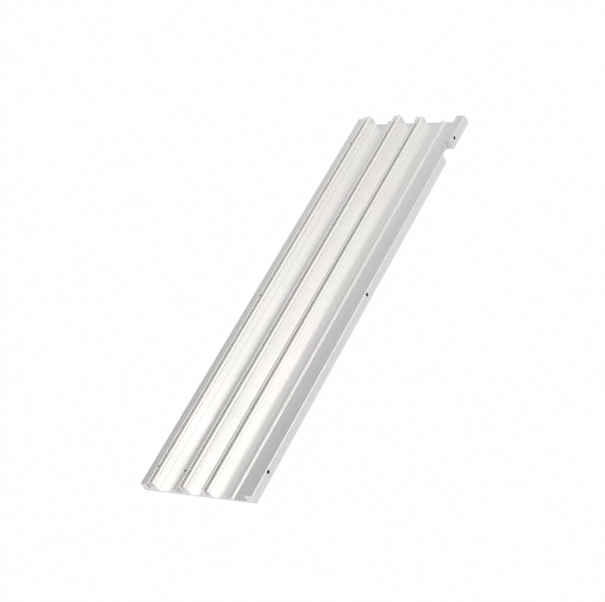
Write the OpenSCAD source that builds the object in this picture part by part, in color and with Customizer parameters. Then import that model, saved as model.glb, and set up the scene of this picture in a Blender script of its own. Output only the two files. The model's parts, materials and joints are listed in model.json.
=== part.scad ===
// Wide extruded aluminium panel, sawn to length and machined along its front flange.
// The section runs along X. The front flange is at -Y, the back block at +Y, and the
// panel lies on its flat underside at Z = 0.

/* [Stock] */
// Length that the extrusion is sawn to
stock_l = 736; // [250:1:1500]
// Thickness of the plate under the open lanes
plate_t = 2.5; // [1.5:0.1:6]

/* [Back block] */
// Width of the solid block along the back
block_w = 11.2; // [6:0.1:20]
// Height of the back block above the underside
block_h = 14.9; // [9:0.1:19]

/* [Fins and slots] */
// Thickness of the rear fin of each pair
fin_t = 3.6; // [2:0.1:7]
// Thickness of the front fin of each pair
nose_t = 4.4; // [3.5:0.1:7]
// Radius of the nose between a front fin's top and its front face
nose_r = 3; // [0.5:0.1:3.2]
// Width of the slot between two fins
slot_w = 4.2; // [2:0.1:8]
// Radius between a rear fin's top and its front face
fin_tip_r = 1.1; // [0.2:0.05:1.5]

/* [Back ridge] */
// Height of the two back fins above the underside
back_ridge_h = 20.3; // [17:0.1:30]
// Height of the slot floor between the block and the first fin
block_slot_z = 7; // [6.2:0.1:8.5]
// Height of the slot floor between the two back fins
back_slot_z = 11.5; // [6.5:0.1:14]
// Radius where the back ridge meets the first lane
back_fillet_r = 1.4; // [0.3:0.1:8]

/* [Middle ridge] */
// Height of the two middle fins above the underside
middle_ridge_h = 20.7; // [17:0.1:30]
// Height of the slot floor between the two middle fins
middle_slot_z = 11; // [6.5:0.1:14]
// Radius where the middle ridge meets the second lane
middle_fillet_r = 0.6; // [0.3:0.1:8]
// Width of the low ledge behind the middle ridge
ledge_w = 6.6; // [3:0.1:12]
// Height of the low ledge above the underside
ledge_h = 8.3; // [6.5:0.1:14]
// Width of the groove between the ledge and the middle ridge
groove_w = 11.6; // [5:0.1:16]
// Height of the groove floor above the underside
groove_z = 4.5; // [3:0.1:6]

/* [Front ridge] */
// Height of the two front fins above the underside
front_ridge_h = 16.5; // [14:0.1:26]
// Height of the slot floor between the two front fins
front_slot_z = 6; // [5:0.1:10]
// Radius where the front ridge meets the third lane
front_fillet_r = 0.6; // [0.3:0.1:6]
// Run of the slope on the front ridge's back, at the floor of the second lane
rear_slope = 8.5; // [1:0.1:12]

/* [Lanes and rib] */
// Open floor between the back ridge and the ledge
back_lane_w = 26.6; // [18:0.1:60]
// Open floor between the middle ridge and the front ridge
middle_lane_w = 28.1; // [18:0.1:60]
// Open floor between the front ridge and the low rib
front_lane_w = 26.4; // [12:0.1:60]
// Width of the low rib
rib_w = 7.6; // [3:0.1:12]
// Height of the low rib above the underside
rib_h = 5; // [3.5:0.1:9]
// Open floor between the low rib and the flange
flange_lane_w = 26.1; // [12:0.1:60]

/* [Flange] */
// Thickness of the front flange from front to back
flange_w = 15; // [8:0.1:30]
// Height of the front flange above the underside
flange_h = 15.3; // [11:0.1:26]
// Radius on the long edges of the flange, the block, the ledge and the rib
edge_r = 1.2; // [0.2:0.05:1.5]

/* [Machining] */
// Diameter of the cross holes through the flange
hole_d = 4.4; // [3:0.1:6]
// Height of the hole axes above the underside
hole_z = 11; // [8:0.1:13]
// Distance from the notch to the axis of the end hole
hole_edge = 12; // [5:0.5:15]
// Number of cross holes, evenly spaced
hole_count = 3; // [2:1:5]
// Length of the notch milled through the flange
notch_l = 29; // [12:0.5:60]
// Length of flange left standing past the notch
end_lug_l = 57; // [20:0.5:60]
// Radius that the cutter leaves in the notch's inner corners
notch_r = 4; // [1:0.1:5.5]
// Width of the cuts across the first back fin, one beside each cross hole
fin_cut_w = 3.5; // [1:0.1:8]
// Depth of the cuts below the fin's top
fin_cut_h = 7; // [2:0.1:8]
// Distance from a cross hole's axis to the cut beside it
fin_cut_lead = 16; // [5:0.5:20]
// Diameter of the small blind hole in the ledge
ledge_hole_d = 2.6; // [1:0.1:2.8]
// Distance from the plain end of the panel to the ledge hole's axis
ledge_hole_end = 34; // [10:0.5:100]
// Distance from the ledge's front edge to the ledge hole's axis
ledge_hole_edge = 2.6; // [1.5:0.1:5]

/* [Hidden] */
$fn = 48;
// Overrun of every cut and overlap of joined outlines
over = 0.4;
// Bright raw aluminium
metal = "#d3d2d2";

// Width of a pair of fins with the slot between them
pair_w = nose_t + slot_w + fin_t;

// Stations across the section, from the back face to the front face
panel_w = block_w + 3 * fin_t + 3 * nose_t + 4 * slot_w + back_lane_w + ledge_w + groove_w
        + middle_lane_w + front_lane_w + rib_w + flange_lane_w + flange_w;
y_back = panel_w / 2;
y_block = y_back - block_w;
y_fin_a = y_block - slot_w - fin_t;
y_fin_b = y_fin_a - slot_w - nose_t;
y_ledge = y_fin_b - back_lane_w - ledge_w;
y_groove = y_ledge - groove_w;
y_fin_c = y_groove - fin_t;
y_fin_d = y_fin_c - slot_w - nose_t;
y_fin_e = y_fin_d - middle_lane_w - fin_t;
y_fin_f = y_fin_e - slot_w - nose_t;
y_rib = y_fin_f - front_lane_w - rib_w;
y_flange = y_rib - flange_lane_w;
y_front = y_flange - flange_w;

// Stations along the length. The holes keep the same distance from both ends.
x_lug = stock_l / 2 - end_lug_l;
x_notch = x_lug - notch_l;
x_end_hole = x_lug + hole_edge;
hole_pitch = 2 * x_end_hole / (hole_count - 1);
hole_stations = [for (i = [0 : hole_count - 1]) i * hole_pitch - x_end_hole];

// Upright bar of the section, standing on the underside, with its two top edges rounded
module bar(y, w, h, r) {
    translate([y, 0]) square([w, h - r]);
    translate([y + r, 0]) square([w - 2 * r, h]);
    for (side = [r, w - r]) translate([y + side, h - r]) circle(r);
}

// Upright fin of the section, with its top rounded towards the front only
module fin(y, w, h, r) {
    translate([y, 0]) square([w, h - r]);
    translate([y + r, 0]) square([w - r, h]);
    translate([y, h - r]) intersection() {
        translate([0, -over]) square(r + over);
        translate([r, 0]) circle(r);
    }
}

// Pair of fins with a slot between them. The front fin is thicker and has a large nose.
module fin_pair(y, h, slot_z) {
    fin(y, nose_t, h, nose_r);
    foot(y + over, pair_w - 2 * over, slot_z);
    fin(y + nose_t + slot_w, fin_t, h, fin_tip_r);
}

// Solid foot under a group of fins and slots
module foot(y, w, h) {
    translate([y, 0]) square([w, h]);
}

// Small hollow corner between a ridge's front face and the lane floor before it
module run_out(y, r) {
    translate([y, plate_t]) mirror([1, 0]) difference() {
        translate([-over, -over]) square(r + over);
        translate([r, r]) circle(r);
    }
}

// Slope behind an upright face, from a height on it down to the lane floor
module slope_behind(y, run, h) {
    polygon([[y - over, 0], [y + run, 0], [y + run, plate_t], [y, h], [y - over, h]]);
}

// Block along the back with the first two fins and their slots
module back_ridge() {
    bar(y_block, block_w, block_h, edge_r);
    foot(y_block - slot_w - over, slot_w + 2 * over, block_slot_z);
    fin_pair(y_fin_b, back_ridge_h, back_slot_z);
    run_out(y_fin_b, back_fillet_r);
}

// Low ledge, groove and the two middle fins
module middle_ridge() {
    bar(y_ledge, ledge_w, ledge_h, edge_r);
    foot(y_groove - over, groove_w + 2 * over, groove_z);
    fin_pair(y_fin_d, middle_ridge_h, middle_slot_z);
    run_out(y_fin_d, middle_fillet_r);
}

// Two front fins with the slot between them
module front_ridge() {
    slope_behind(y_fin_e + fin_t, rear_slope, front_ridge_h - fin_tip_r);
    fin_pair(y_fin_f, front_ridge_h, front_slot_z);
    run_out(y_fin_f, front_fillet_r);
}

// Whole section, as it leaves the die
module section() {
    translate([y_front, 0]) square([panel_w, plate_t]);
    back_ridge();
    middle_ridge();
    front_ridge();
    bar(y_rib, rib_w, rib_h, edge_r);
    bar(y_front, flange_w, flange_h, edge_r);
}

// Cross holes through the flange
module cross_holes() {
    for (x = hole_stations)
        translate([x, y_flange + over, hole_z])
            rotate([90, 0, 0]) cylinder(d = hole_d, h = flange_w + 2 * over);
}

// Notch milled right through the flange and the plate below it
module notch() {
    translate([0, 0, -over]) linear_extrude(flange_h + 2 * over) {
        translate([x_notch, y_front - over]) square([notch_l, flange_w + over - notch_r]);
        translate([x_notch + notch_r, y_front]) square([notch_l - 2 * notch_r, flange_w]);
        for (x = [x_notch + notch_r, x_lug - notch_r]) translate([x, y_flange - notch_r]) circle(notch_r);
    }
}

// Cuts across the first back fin
module fin_cuts() {
    for (x = hole_stations)
        translate([x - fin_cut_lead - fin_cut_w / 2, y_fin_a - over, back_ridge_h - fin_cut_h])
            cube([fin_cut_w, fin_t + 2 * over, fin_cut_h + over]);
}

// Small blind hole in the ledge, as deep as the plate's top
module ledge_hole() {
    translate([ledge_hole_end - stock_l / 2, y_ledge + ledge_hole_edge, plate_t])
        cylinder(d = ledge_hole_d, h = ledge_h - plate_t + over);
}

// The panel: one extruded piece with its machining
module extruded_panel() {
    color(metal) difference() {
        translate([-stock_l / 2, 0, 0]) rotate([90, 0, 90]) linear_extrude(stock_l) section();
        cross_holes();
        notch();
        fin_cuts();
        ledge_hole();
    }
}

extruded_panel();
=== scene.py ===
"""Looks and studio stage for a wide extruded aluminium panel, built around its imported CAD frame."""

import json
import math

import bmesh
import bpy
from bpy.props import FloatProperty, FloatVectorProperty, IntProperty, PointerProperty
from bpy.types import Operator, Panel, PropertyGroup
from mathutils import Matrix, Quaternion, Vector


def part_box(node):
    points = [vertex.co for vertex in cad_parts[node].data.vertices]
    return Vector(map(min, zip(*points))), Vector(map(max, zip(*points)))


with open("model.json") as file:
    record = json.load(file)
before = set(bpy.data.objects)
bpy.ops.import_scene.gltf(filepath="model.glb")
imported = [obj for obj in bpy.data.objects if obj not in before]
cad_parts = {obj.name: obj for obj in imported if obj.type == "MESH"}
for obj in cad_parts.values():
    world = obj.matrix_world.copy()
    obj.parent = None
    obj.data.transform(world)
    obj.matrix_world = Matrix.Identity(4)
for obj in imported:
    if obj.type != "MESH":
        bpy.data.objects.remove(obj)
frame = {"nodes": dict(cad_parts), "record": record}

bl_info = {
    "name": "Extruded panel looks",
    "version": (1, 0, 0),
    "blender": (4, 5, 0),
    "location": "3D View > Sidebar > Extruded panel",
    "description": "Mill finish, machined faces and studio stage for an extruded aluminium panel",
    "category": "Object",
}

PANEL_NODE = "extruded_panel"
MM = 0.001

# Margin that catches the sawn ends and the mouths of the holes
CUT_SKIN = 0.05 * MM
# Margin that catches the walls of the notch and tells the flange's front face from its top
FACE_SKIN = 0.5 * MM
# Gap between the panel and the floor, so that they never share a plane
FLOOR_GAP = 0.2 * MM
# How far the camera sees, in floor sizes
VIEW_REACH = 4

# Parts of a pattern's output over which a look changes
HAZE_SPAN = (0.3, 0.7)
FILM_SPAN = (0.4, 0.6)
MARK_SPAN = (0.25, 0.75)
# Soft noise with little fine detail
SOFT_NOISE = {"Detail": 1.0, "Roughness": 0.5}
# Power of the curve by which a lane's floor seems to lift
LIFT_POWER = 2.0
# How unevenly the saw's arcs run
SAW_WANDER = {"Distortion": 1.5, "Detail": 2.0, "Detail Scale": 0.3}
# Distance after which a wave pattern of scale 1 repeats. Diagonal bands take twice that along X or Y.
WAVE_REPEAT = math.pi / 10

# Parts of a direction's X, Y or Z over which the room's light changes
LEFT_TO_PEAK = (0.05, 0.36)
PEAK_TO_RIGHT = (0.43, 0.64)
LOW_TO_HIGH = (0.05, 0.3)
FRONT_TO_BACK = (-0.42, 0.0)
SIDE_TO_ROOM = (-0.45, -0.05)

panel_lo, panel_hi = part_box(PANEL_NODE)
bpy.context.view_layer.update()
openings = {o["name"]: o["box_m"] for o in frame["record"]["physics"]["openings"]}
mounts = {m["name"]: m for m in frame["record"]["mounts"]}


def linear(hex_code):
    """Linear RGB of an sRGB hex colour."""
    channels = [int(hex_code[i:i + 2], 16) / 255 for i in (1, 3, 5)]
    return tuple(c / 12.92 if c <= 0.04045 else ((c + 0.055) / 1.055) ** 2.4 for c in channels)


def add(tree, kind, inputs=None, **settings):
    """Adds a node, sets its properties and fills its inputs with values or with links from other nodes."""
    made = tree.nodes.new(kind)
    for name, value in settings.items():
        setattr(made, name, value)
    for name, value in (inputs or {}).items():
        if isinstance(value, bpy.types.NodeSocket):
            tree.links.new(value, made.inputs[name])
        else:
            made.inputs[name].default_value = value
    return made


class PanelFinish(PropertyGroup):
    """Finish of the raw metal."""

    metal_colour: FloatVectorProperty(
        name="Metal", description="Colour of the bare aluminium",
        subtype="COLOR", size=3, default=linear("#f8f6f5"), min=0, max=1)
    film_colour: FloatVectorProperty(
        name="Oxide film", description="Tint of the metal where its oxide film is thicker",
        subtype="COLOR", size=3, default=linear("#f8f7f5"), min=0, max=1)
    # Painted shade: this tint darkens the flange lane towards the flange, and the flange's top
    flange_shade_colour: FloatVectorProperty(
        name="Rubbed metal", description="Tint of the flange's top, dulled where panels are stacked",
        subtype="COLOR", size=3, default=linear("#f1eeef"), min=0, max=1)
    cut_colour: FloatVectorProperty(
        name="Cut metal", description="Colour of the freshly sawn ends",
        subtype="COLOR", size=3, default=linear("#fdfafb"), min=0, max=1)
    # Painted shade: dark colour for the walls of the drilled holes
    hole_shade_colour: FloatVectorProperty(
        name="Bore", description="Colour inside the drilled holes, dark with cutting oil",
        subtype="COLOR", size=3, default=linear("#201f1f"), min=0, max=1)
    mill_roughness: FloatProperty(
        name="Mill roughness", description="Roughness of the surface as it leaves the die",
        subtype="FACTOR", default=0.24, min=0, max=1)
    cut_roughness: FloatProperty(
        name="Cut roughness", description="Roughness of the sawn ends",
        subtype="FACTOR", default=0.55, min=0, max=1)
    milled_roughness: FloatProperty(
        name="Milled roughness", description="Roughness of the notch's faces",
        subtype="FACTOR", default=0.4, min=0, max=1)
    haze_roughness: FloatProperty(
        name="Haze roughness", description="How far the haze moves the roughness up or down",
        subtype="FACTOR", default=0.03, min=0, max=0.2)
    haze_size: FloatProperty(
        name="Haze size", description="Size of the broad patches of haze and oxide film",
        unit="LENGTH", default=90 * MM, min=5 * MM)
    mark_shades: FloatVectorProperty(
        name="Mark shades", description="Shade of the dark and the bright side of die lines and tool marks",
        size=2, default=(0.96, 1.03), min=0)
    die_line_pitch: FloatProperty(
        name="Die line pitch", description="Distance between neighbouring die lines",
        unit="LENGTH", default=3.2 * MM, min=0.2 * MM)
    die_line_run: FloatProperty(
        name="Die line run", description="Length over which a die line comes and goes",
        unit="LENGTH", default=420 * MM, min=10 * MM)
    saw_mark_pitch: FloatProperty(
        name="Saw mark pitch", description="Distance between the arcs that the saw leaves",
        unit="LENGTH", default=1.6 * MM, min=0.2 * MM)
    saw_blade_radius: FloatProperty(
        name="Saw blade radius", description="Radius of the blade that cut the ends",
        unit="LENGTH", default=150 * MM, min=10 * MM)
    feed_mark_pitch: FloatProperty(
        name="Feed mark pitch", description="Distance between the marks that the milling cutter leaves",
        unit="LENGTH", default=3 * MM, min=0.2 * MM)
    notch_corner: FloatProperty(
        name="Notch corner", description="How far the notch reaches past its clear opening",
        unit="LENGTH", default=4.4 * MM, min=0)
    # Painted shade: width of a dark rim round each hole's mouth, as a share of its radius
    shade_rim: FloatProperty(
        name="Oil rim", description="Width of the oil stain round a drilled hole, as a share of its radius",
        subtype="FACTOR", default=0.48, min=0.01, max=1)
    dish_depths: FloatVectorProperty(
        name="Dish depths", description="How far the floors of the back and front lanes seem to lift",
        unit="LENGTH", size=2, default=(0.6 * MM, 1.25 * MM), min=0)
    dish_share: FloatProperty(
        name="Dish share", description="Share of a lane's width over which its floor seems to lift",
        subtype="FACTOR", default=0.68, min=0.01, max=1)


class StudioStage(PropertyGroup):
    """Floor, light and camera."""

    floor_size: FloatProperty(
        name="Floor size", description="Side of the square floor",
        unit="LENGTH", default=14, min=1)
    floor_colour: FloatVectorProperty(
        name="Floor", description="Colour of the floor's paint",
        subtype="COLOR", size=3, default=linear("#ececec"), min=0, max=1)
    backdrop_colour: FloatVectorProperty(
        name="Backdrop", description="Colour of the background, and of the floor as it is seen",
        subtype="COLOR", size=3, default=linear("#ffffff"), min=0, max=1)
    shadow_share: FloatProperty(
        name="Shadow share", description="How much of the floor's own light and shade the camera sees",
        subtype="FACTOR", default=0.02, min=0, max=1)
    mirror_share: FloatProperty(
        name="Mirror share", description="How much of the floor's own light and shade shows in the metal",
        subtype="FACTOR", default=0.68, min=0, max=1)
    back_levels: FloatVectorProperty(
        name="Back levels", description="Brightness behind the panel, on the left and on the right",
        size=2, default=(0.508, 0.704), min=0)
    front_levels: FloatVectorProperty(
        name="Front levels", description="Brightness before the panel: left, at its peak and right",
        size=3, default=(0.82, 1.42, 0.68), min=0)
    side_levels: FloatVectorProperty(
        name="Side levels", description="Brightness beside the panel's plain end, low down and high up",
        size=2, default=(1.65, 0.65), min=0)
    softbox_level: FloatProperty(
        name="Softbox level", description="Brightness of the softbox's face", default=0.33, min=0)
    softbox_size: FloatVectorProperty(
        name="Softbox size", description="Sides of the softbox, across the panel and along it",
        unit="LENGTH", size=2, default=(1.5, 2.6), min=0.1)
    softbox_distance: FloatProperty(
        name="Softbox distance", description="Distance from the panel to the softbox",
        unit="LENGTH", default=3, min=0.5)
    softbox_direction: FloatVectorProperty(
        name="Softbox direction", description="Direction from the panel towards the softbox",
        subtype="DIRECTION", size=3, default=(0.52, -0.15, 0.84))
    mirror_bounces: IntProperty(
        name="Mirror bounces", description="How often light may bounce between the walls of the slots",
        default=12, min=1, max=64)
    view_azimuth: FloatProperty(
        name="View azimuth", description="Turn of the camera round the panel",
        subtype="ANGLE", default=math.radians(-40.68))
    view_elevation: FloatProperty(
        name="View elevation", description="Height of the camera above the horizon",
        subtype="ANGLE", default=math.radians(36.8))
    view_roll: FloatProperty(
        name="View roll", description="Turn of the picture about the line of sight",
        subtype="ANGLE", default=math.radians(-32.65))
    view_distance: FloatProperty(
        name="View distance", description="Distance from the camera to its aim",
        unit="LENGTH", default=2.8138)
    view_aim: FloatVectorProperty(
        name="View aim", description="Point at the middle of the picture",
        subtype="TRANSLATION", size=3, default=(-0.0108, 0.0140, 0.0042))
    lens: FloatProperty(
        name="Lens", description="Focal length of the camera, in millimetres",
        subtype="DISTANCE_CAMERA", default=114.33)


def direction(azimuth, elevation):
    """Unit vector from the panel towards a place round it. Azimuth 0 is in front, on -Y."""
    flat = math.cos(elevation)
    return Vector((math.sin(azimuth) * flat, -math.cos(azimuth) * flat, math.sin(elevation)))


def inside(tree, place, boxes):
    """Mask that is 1 where a separated position lies in any of some boxes, each a low and a high corner."""
    mask = 0.0
    for low, high in boxes:
        part = 1.0
        for axis, lo, hi in zip("XYZ", low, high):
            within = add(tree, "ShaderNodeMath",
                         {0: place.outputs[axis], 1: (lo + hi) / 2, 2: (hi - lo) / 2}, operation="COMPARE")
            part = add(tree, "ShaderNodeMath",
                       {0: within.outputs[0], 1: part}, operation="MULTIPLY").outputs[0]
        mask = add(tree, "ShaderNodeMath", {0: part, 1: mask}, operation="MAXIMUM").outputs[0]
    return mask


def end_boxes():
    """Boxes that hold the two sawn ends."""
    skin = Vector((CUT_SKIN, 0, 0))
    plain, notched = panel_hi.copy(), panel_lo.copy()
    plain.x, notched.x = panel_lo.x, panel_hi.x
    return [(panel_lo - skin, plain + skin), (notched - skin, panel_hi + skin)]


def notch_box(corner):
    """Box that holds the faces of the notch, whose inner corners have a radius."""
    low, high = (Vector(place) for place in openings["flange_notch"])
    side = Vector((FACE_SKIN, 0, 0))
    return low - side, high + side + Vector((0, corner, 0))


def drilled(tree, coords, place, rim):
    """Mask of painted shade for the drilled holes: 1 on their walls, and fading out over a rim round their
    mouths.
    """
    middle = mounts["flange_middle_hole"]
    reach = mounts["flange_end_holes"]["dims"]["spacing_x_mm"] * MM / 2
    holes = [(middle, "Y", shift) for shift in (-reach, 0, reach)]
    holes.append((mounts["ledge_hole"], "Z", 0))
    mask = 0.0
    for mount, axis, shift in holes:
        radius = mount["dims"]["r_mm"] * MM
        half = mount["dims"]["length_mm"] * MM / 2 + CUT_SKIN
        centre = Vector(mount["pos_m"]) + Vector((shift, 0, 0))
        across = Vector([0 if letter == axis else 1 for letter in "XYZ"])
        flat = add(tree, "ShaderNodeVectorMath",
                   {0: coords.outputs["Object"], 1: across}, operation="MULTIPLY")
        away = add(tree, "ShaderNodeVectorMath",
                   {0: flat.outputs["Vector"], 1: centre * across}, operation="DISTANCE")
        near = add(tree, "ShaderNodeMapRange",
                   {"Value": away.outputs["Value"], "From Min": radius, "From Max": radius * (1 + rim),
                    "To Min": 1.0, "To Max": 0.0})
        level = add(tree, "ShaderNodeMath",
                    {0: place.outputs[axis], 1: centre["XYZ".index(axis)], 2: half}, operation="COMPARE")
        part = add(tree, "ShaderNodeMath",
                   {0: near.outputs["Result"], 1: level.outputs[0]}, operation="MULTIPLY")
        mask = add(tree, "ShaderNodeMath", {0: part.outputs[0], 1: mask}, operation="MAXIMUM").outputs[0]
    return mask


def painted_flange_shade(tree, place):
    """Mask of painted shade that grows from the low rib to the flange and covers its top, but not its front
    face.
    """
    lane_low, lane_high = (Vector(corner) for corner in openings["flange_lane"])
    growth = add(tree, "ShaderNodeMapRange",
                 {"Value": place.outputs["Y"], "From Min": lane_high.y, "From Max": lane_low.y})
    behind_front = add(tree, "ShaderNodeMath",
                       {0: place.outputs["Y"], 1: panel_lo.y + FACE_SKIN}, operation="GREATER_THAN")
    return add(tree, "ShaderNodeMath",
               {0: growth.outputs["Result"], 1: behind_front.outputs[0]}, operation="MULTIPLY").outputs[0]


def dished_floors(tree, place, finish):
    """Height in metres by which the thin floors of two lanes seem to lift towards their low side."""
    total = 0.0
    for lane, depth in zip(("back_lane", "front_lane"), finish.dish_depths):
        low, high = (corner[1] for corner in openings[lane])
        start = low + finish.dish_share * (high - low)
        lift = add(tree, "ShaderNodeMapRange",
                   {"Value": place.outputs["Y"], "From Min": start, "From Max": low})
        curve = add(tree, "ShaderNodeMath", {0: lift.outputs["Result"], 1: LIFT_POWER}, operation="POWER")
        total = add(tree, "ShaderNodeMath",
                    {0: curve.outputs[0], 1: depth, 2: total}, operation="MULTIPLY_ADD").outputs[0]
    return total


def surface_marks(tree, coords, finish, sawn, milled):
    """Pattern of die lines along the panel, saw arcs on its ends and cutter marks in its notch."""
    # Die lines, drawn coarser than the real scratches so that they show at the picture's scale
    along, across = 1 / finish.die_line_run, 1 / finish.die_line_pitch
    stretch = add(tree, "ShaderNodeMapping",
                  {"Vector": coords.outputs["Object"], "Scale": (along, across, across)})
    lines = add(tree, "ShaderNodeTexNoise", {"Vector": stretch.outputs["Vector"], "Scale": 1.0, **SOFT_NOISE})

    # Arcs round the saw blade's axis, which lies below the panel.
    # They are coarser than real ones so that they show.
    blade = add(tree, "ShaderNodeMapping",
                {"Vector": coords.outputs["Object"], "Location": (0, 0, finish.saw_blade_radius)})
    arcs = add(tree, "ShaderNodeTexWave",
               {"Vector": blade.outputs["Vector"], "Scale": WAVE_REPEAT / finish.saw_mark_pitch,
                **SAW_WANDER}, wave_type="RINGS", rings_direction="X")

    # Upright cutter marks, coarser than real ones so that they show
    upright = add(tree, "ShaderNodeMapping", {"Vector": coords.outputs["Object"], "Scale": (1, 1, 0)})
    feed = add(tree, "ShaderNodeTexWave",
               {"Vector": upright.outputs["Vector"], "Scale": 2 * WAVE_REPEAT / finish.feed_mark_pitch},
               wave_type="BANDS", bands_direction="DIAGONAL")

    tooled = add(tree, "ShaderNodeMath", {0: sawn, 1: milled}, operation="MAXIMUM")
    tool_marks = add(tree, "ShaderNodeMix",
                     {"Factor": milled, "A": arcs.outputs["Fac"], "B": feed.outputs["Fac"]},
                     data_type="FLOAT")
    marks = add(tree, "ShaderNodeMix",
                {"Factor": tooled.outputs[0], "A": lines.outputs["Fac"], "B": tool_marks.outputs["Result"]},
                data_type="FLOAT")
    return marks.outputs["Result"]


def metal_roughness(tree, haze, finish, sawn, milled):
    """Roughness of the mill finish, the sawn ends and the notch, moved a little by the haze."""
    change = add(tree, "ShaderNodeMapRange",
                 {"Value": haze, "From Min": HAZE_SPAN[0], "From Max": HAZE_SPAN[1],
                  "To Min": -finish.haze_roughness, "To Max": finish.haze_roughness})
    ends = add(tree, "ShaderNodeMix",
               {"Factor": sawn, "A": finish.mill_roughness, "B": finish.cut_roughness}, data_type="FLOAT")
    base = add(tree, "ShaderNodeMix",
               {"Factor": milled, "A": ends.outputs["Result"], "B": finish.milled_roughness},
               data_type="FLOAT")
    return add(tree, "ShaderNodeMath",
               {0: base.outputs["Result"], 1: change.outputs["Result"]}, operation="ADD").outputs[0]


def metal_tint(tree, haze, marks, finish, flange_shade, sawn, hole_shade):
    """Colour of the metal: bare or under its oxide film, or sawn, with painted shade over the flange lane and
    in and round the holes, and shaded by its marks.
    """
    film = add(tree, "ShaderNodeMapRange",
               {"Value": haze, "From Min": FILM_SPAN[0], "From Max": FILM_SPAN[1]})
    skin = add(tree, "ShaderNodeMix",
               {"Factor": film.outputs["Result"], "A": (*finish.metal_colour, 1),
                "B": (*finish.film_colour, 1)}, data_type="RGBA")
    # Painted shade over the flange lane and the flange's top
    flange_shaded = add(tree, "ShaderNodeMix",
               {"Factor": flange_shade, "A": skin.outputs["Result"], "B": (*finish.flange_shade_colour, 1)},
               data_type="RGBA")
    metal = add(tree, "ShaderNodeMix",
                {"Factor": sawn, "A": flange_shaded.outputs["Result"], "B": (*finish.cut_colour, 1)},
                data_type="RGBA")
    dark, bright = finish.mark_shades
    shade = add(tree, "ShaderNodeMapRange",
                {"Value": marks, "From Min": MARK_SPAN[0], "From Max": MARK_SPAN[1],
                 "To Min": dark, "To Max": bright})
    lined = add(tree, "ShaderNodeMix",
                {"Factor": 1.0, "A": metal.outputs["Result"], "B": shade.outputs["Result"]},
                data_type="RGBA", blend_type="MULTIPLY")
    # Painted shade in the holes and round their mouths
    return add(tree, "ShaderNodeMix",
               {"Factor": hole_shade, "A": lined.outputs["Result"], "B": (*finish.hole_shade_colour, 1)},
               data_type="RGBA").outputs["Result"]


def mill_finish_aluminium(finish):
    """Extruded aluminium as it leaves the die: a soft mirror with faint lines along its length.
    Its sawn ends are whiter and duller and its notch is a little duller. Painted shade darkens its holes, a
    rim round their mouths, and the flange lane towards the flange."""
    material = bpy.data.materials.new("Mill finish extruded aluminium")
    material.use_nodes = True
    tree = material.node_tree
    tree.nodes.clear()
    coords = add(tree, "ShaderNodeTexCoord")
    place = add(tree, "ShaderNodeSeparateXYZ", {"Vector": coords.outputs["Object"]})
    sawn = inside(tree, place, end_boxes())
    milled = inside(tree, place, [notch_box(finish.notch_corner)])
    # Painted shade in the drilled holes and round their mouths
    hole_shade = drilled(tree, coords, place, finish.shade_rim)
    # Painted shade that darkens the flange lane towards the flange
    flange_shade = painted_flange_shade(tree, place)
    marks = surface_marks(tree, coords, finish, sawn, milled)

    # Broad patches of haze and oxide film, which change the gloss and the tint a little along the lanes
    patches = add(tree, "ShaderNodeTexNoise",
                  {"Vector": coords.outputs["Object"], "Scale": 1 / finish.haze_size, **SOFT_NOISE})
    haze = patches.outputs["Fac"]

    # The bump's distance is 1 because its height is in metres
    dish = add(tree, "ShaderNodeBump",
               {"Height": dished_floors(tree, place, finish), "Strength": 1.0, "Distance": 1.0})
    shader = add(tree, "ShaderNodeBsdfPrincipled",
                 {"Base Color": metal_tint(tree, haze, marks, finish, flange_shade, sawn, hole_shade), "Metallic": 1.0,
                  "Roughness": metal_roughness(tree, haze, finish, sawn, milled),
                  "Normal": dish.outputs["Normal"]})
    add(tree, "ShaderNodeOutputMaterial", {"Surface": shader.outputs["BSDF"]})
    return material


def studio_floor_paint(stage):
    """Matt white floor. The camera sees it as plain white with a trace of the panel's shadow,
    and the metal mirrors more of its own light and shade."""
    material = bpy.data.materials.new("Matt white studio floor")
    material.use_nodes = True
    tree = material.node_tree
    tree.nodes.clear()
    path = add(tree, "ShaderNodeLightPath")
    seen = add(tree, "ShaderNodeMath",
               {0: path.outputs["Is Camera Ray"], 1: path.outputs["Is Transmission Ray"]},
               operation="MAXIMUM")
    mirrored = add(tree, "ShaderNodeMath",
                   {0: path.outputs["Is Glossy Ray"], 1: 1 - stage.mirror_share}, operation="MULTIPLY")
    share = add(tree, "ShaderNodeMath",
                {0: seen.outputs[0], 1: 1 - stage.shadow_share, 2: mirrored.outputs[0]},
                operation="MULTIPLY_ADD")
    matt = add(tree, "ShaderNodeBsdfDiffuse", {"Color": (*stage.floor_colour, 1)})
    glow = add(tree, "ShaderNodeEmission", {"Color": (*stage.backdrop_colour, 1), "Strength": 1.0})
    mixed = add(tree, "ShaderNodeMixShader",
                {"Fac": share.outputs[0], 1: matt.outputs["BSDF"], 2: glow.outputs["Emission"]})
    add(tree, "ShaderNodeOutputMaterial", {"Surface": mixed.outputs["Shader"]})
    return material


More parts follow.
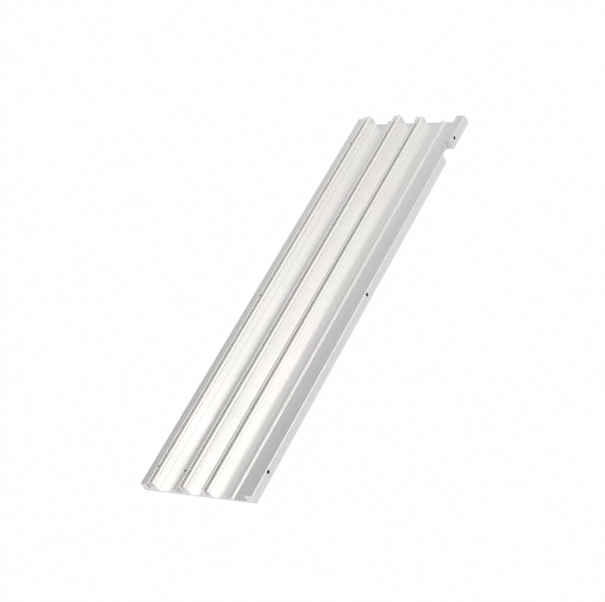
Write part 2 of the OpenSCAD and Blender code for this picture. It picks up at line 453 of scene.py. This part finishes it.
def studio_room(stage):
    """Plain room light: brighter before the panel than behind it, and white to the camera."""
    world = bpy.data.worlds.new("Studio room")
    world.use_nodes = True
    tree = world.node_tree
    tree.nodes.clear()
    coords = add(tree, "ShaderNodeTexCoord")
    place = add(tree, "ShaderNodeSeparateXYZ", {"Vector": coords.outputs["Generated"]})

    def blend(axis, span, before, after):
        """Level that changes softly from one value to another along an axis of the direction."""
        made = add(tree, "ShaderNodeMapRange",
                   {"Value": place.outputs[axis], "From Min": span[0], "From Max": span[1],
                    "To Min": before, "To Max": after}, interpolation_type="SMOOTHSTEP")
        return made.outputs["Result"]

    left, peak, right = stage.front_levels
    front = blend("X", PEAK_TO_RIGHT, blend("X", LEFT_TO_PEAK, left, peak), right)
    back = blend("X", PEAK_TO_RIGHT, *stage.back_levels)
    side = blend("Z", LOW_TO_HIGH, *stage.side_levels)
    level = blend("X", SIDE_TO_ROOM, side, blend("Y", FRONT_TO_BACK, front, back))
    path = add(tree, "ShaderNodeLightPath")
    strength = add(tree, "ShaderNodeMix",
                   {"Factor": path.outputs["Is Camera Ray"], "A": level, "B": 1.0}, data_type="FLOAT")
    light = add(tree, "ShaderNodeBackground",
                {"Color": (*stage.backdrop_colour, 1), "Strength": strength.outputs["Result"]})
    add(tree, "ShaderNodeOutputWorld", {"Surface": light.outputs["Background"]})
    return world


class PANEL_OT_finish(Operator):
    """Gives the extruded panel its mill finish"""

    bl_idname = "panel.mill_finish"
    bl_label = "Finish the panel"

    def execute(self, context):
        material = mill_finish_aluminium(context.scene.panel_finish)
        panel = frame["nodes"][PANEL_NODE]
        for slot in panel.material_slots:
            slot.material = material
        return {"FINISHED"}


class PANEL_OT_stage(Operator):
    """Sets up the floor, the light and the camera"""

    bl_idname = "panel.studio_stage"
    bl_label = "Set the stage"

    def execute(self, context):
        scene = context.scene
        stage = scene.studio_stage
        scene.view_settings.view_transform = "Standard"
        scene.cycles.glossy_bounces = stage.mirror_bounces
        scene.world = studio_room(stage)
        self.lay_floor(scene, stage)
        self.hang_softbox(scene, stage)
        self.place_camera(scene, stage)
        return {"FINISHED"}

    def lay_floor(self, scene, stage):
        mesh = bpy.data.meshes.new("studio_floor")
        shape = bmesh.new()
        bmesh.ops.create_grid(shape, x_segments=1, y_segments=1, size=stage.floor_size / 2)
        bmesh.ops.translate(shape, vec=(0, 0, panel_lo.z - FLOOR_GAP), verts=shape.verts)
        shape.to_mesh(mesh)
        shape.free()
        mesh.materials.append(studio_floor_paint(stage))
        floor = bpy.data.objects.new("studio_floor", mesh)
        scene.collection.objects.link(floor)

    def hang_softbox(self, scene, stage):
        lamp = bpy.data.lights.new("softbox", "AREA")
        lamp.shape = "RECTANGLE"
        lamp.size, lamp.size_y = stage.softbox_size
        lamp.energy = stage.softbox_level * math.pi * lamp.size * lamp.size_y
        softbox = bpy.data.objects.new("softbox", lamp)
        away = Vector(stage.softbox_direction).normalized()
        softbox.location = away * stage.softbox_distance
        softbox.rotation_mode = "QUATERNION"
        softbox.rotation_quaternion = away.to_track_quat("Z", "Y")
        scene.collection.objects.link(softbox)

    def place_camera(self, scene, stage):
        lens = bpy.data.cameras.new("view")
        lens.lens = stage.lens
        lens.clip_end = VIEW_REACH * stage.floor_size
        camera = bpy.data.objects.new("view", lens)
        back = direction(stage.view_azimuth, stage.view_elevation)
        camera.location = Vector(stage.view_aim) + back * stage.view_distance
        camera.rotation_mode = "QUATERNION"
        camera.rotation_quaternion = back.to_track_quat("Z", "Y") @ Quaternion((0, 0, 1), stage.view_roll)
        scene.collection.objects.link(camera)
        scene.camera = camera


class PANEL_PT_looks(Panel):
    """Finish and stage of the extruded panel"""

    bl_idname = "PANEL_PT_looks"
    bl_label = "Extruded panel"
    bl_space_type = "VIEW_3D"
    bl_region_type = "UI"
    bl_category = "Extruded panel"

    def draw(self, context):
        for group, operator in (("panel_finish", PANEL_OT_finish), ("studio_stage", PANEL_OT_stage)):
            values = getattr(context.scene, group)
            box = self.layout.box()
            for name in values.__annotations__:
                box.prop(values, name)
            box.operator(operator.bl_idname)


CLASSES = (PanelFinish, StudioStage, PANEL_OT_finish, PANEL_OT_stage, PANEL_PT_looks)


def register():
    for made in CLASSES:
        bpy.utils.register_class(made)
    bpy.types.Scene.panel_finish = PointerProperty(type=PanelFinish)
    bpy.types.Scene.studio_stage = PointerProperty(type=StudioStage)


def unregister():
    del bpy.types.Scene.studio_stage
    del bpy.types.Scene.panel_finish
    for made in reversed(CLASSES):
        bpy.utils.unregister_class(made)


def main():
    register()
    bpy.ops.panel.mill_finish()
    bpy.ops.panel.studio_stage()


if __name__ == "__main__":
    main()
